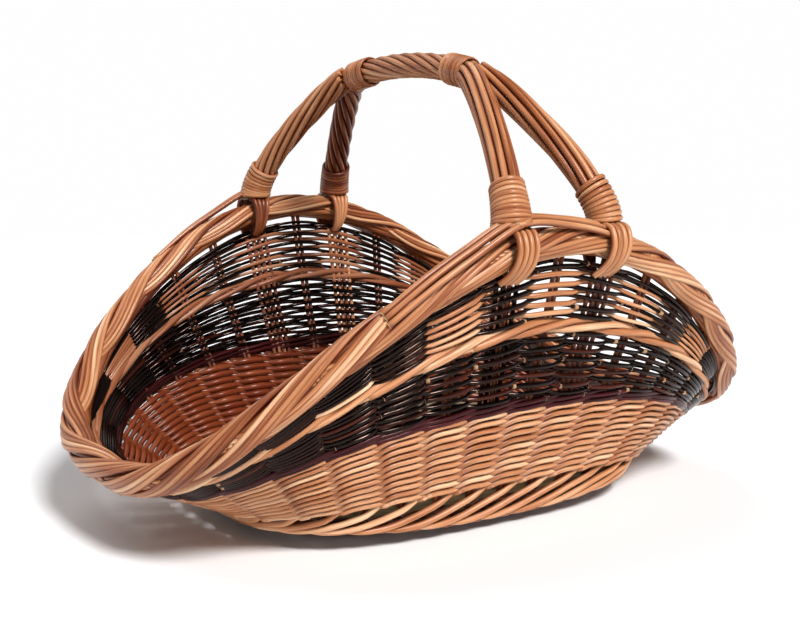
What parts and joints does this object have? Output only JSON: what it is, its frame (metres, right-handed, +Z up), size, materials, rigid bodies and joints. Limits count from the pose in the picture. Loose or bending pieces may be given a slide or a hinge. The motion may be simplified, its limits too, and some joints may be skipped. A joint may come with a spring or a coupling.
{
  "type": "wicker log basket",
  "caption": "Oval two-tone willow log basket with low ends, high sides, a rolled rim border and a fixed forked carrying handle.",
  "frame": {"origin": "on the floor under the centre of the base", "axes": "+X along the long axis towards the right-hand low end, +Y towards the far high side, +Z up"},
  "size_m": [0.6033, 0.4628, 0.39],
  "materials": {
    "buff_willow": "satin",
    "brown_willow": "satin",
    "mixed_willow": "satin",
    "black_willow": "gloss",
    "maroon_willow": "gloss",
    "barked_hoop": "matte",
    "willow_skein": "satin"
  },
  "bodies": {
    "root": {"base_cross_sticks": "brown_willow", "base_hoop": "barked_hoop", "base_long_sticks": "brown_willow", "base_rope": "buff_willow", "base_weave": "brown_willow", "black_weave": "black_willow", "collar_weave": "black_willow", "foot_ring": "buff_willow", "fork_binding_back": "willow_skein", "fork_binding_front": "willow_skein", "handle_grip": "buff_willow", "handle_leg_back_left": "buff_willow", "handle_leg_back_right": "buff_willow", "handle_leg_front_left": "buff_willow", "handle_leg_front_right": "buff_willow", "inner_tail_back_left": "buff_willow", "inner_tail_back_right": "buff_willow", "inner_tail_front_left": "buff_willow", "inner_tail_front_right": "buff_willow", "leg_binding_back_left": "willow_skein", "leg_binding_back_right": "willow_skein", "leg_binding_front_left": "willow_skein", "leg_binding_front_right": "willow_skein", "light_wale": "buff_willow", "liner_back_left": "brown_willow", "liner_back_right": "brown_willow", "liner_front_left": "brown_willow", "liner_front_right": "brown_willow", "lower_weave": "buff_willow", "maroon_wale": "maroon_willow", "open_weave": "mixed_willow", "outer_tail_back_left": "buff_willow", "outer_tail_back_right": "buff_willow", "outer_tail_front_left": "buff_willow", "outer_tail_front_right": "buff_willow", "rim_border": "buff_willow", "side_stakes": "brown_willow", "upsett": "buff_willow"}
  },
  "joints": []
}
